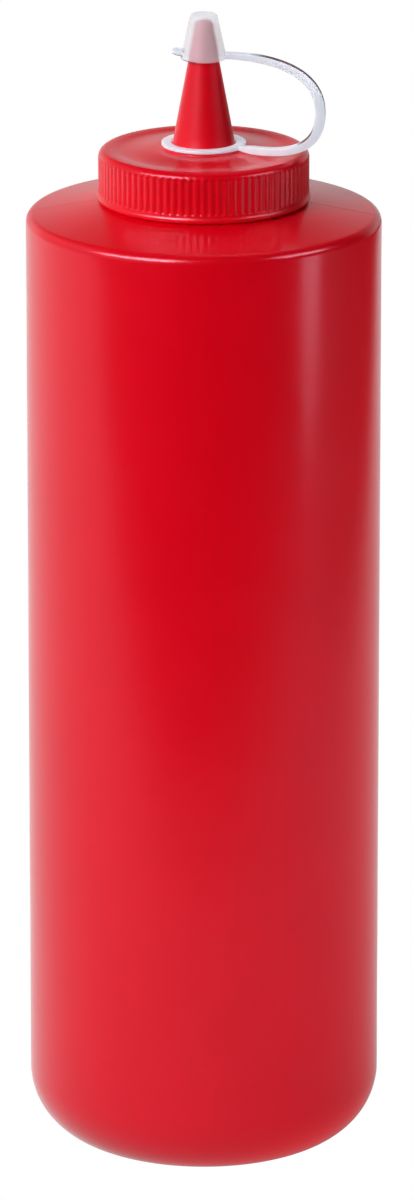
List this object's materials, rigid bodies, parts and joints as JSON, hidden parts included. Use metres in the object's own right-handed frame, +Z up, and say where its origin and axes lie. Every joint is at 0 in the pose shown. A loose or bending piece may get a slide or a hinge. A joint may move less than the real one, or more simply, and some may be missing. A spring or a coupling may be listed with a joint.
{
  "type": "condiment squeeze bottle",
  "caption": "Tall red plastic squeeze bottle for sauce with a ribbed screw cap, a pouring nozzle and a clear tip cap on a strap.",
  "frame": {"origin": "centre of the bottle's base, on the plane it stands on", "axes": "+Z up along the bottle's axis; the strap of the tip cap bows out towards +X; the front is -Y"},
  "size_m": [0.07, 0.07, 0.2311],
  "materials": {
    "bottle_red": "blow-moulded soft polyethylene, satin",
    "cap_red": "injection-moulded polyethylene, satin",
    "tip_milky": "injection-moulded milky polyethylene, satin"
  },
  "bodies": {
    "root": {"bottle": "bottle_red", "screw_cap": "cap_red", "tip_cap": "tip_milky"}
  },
  "joints": []
}
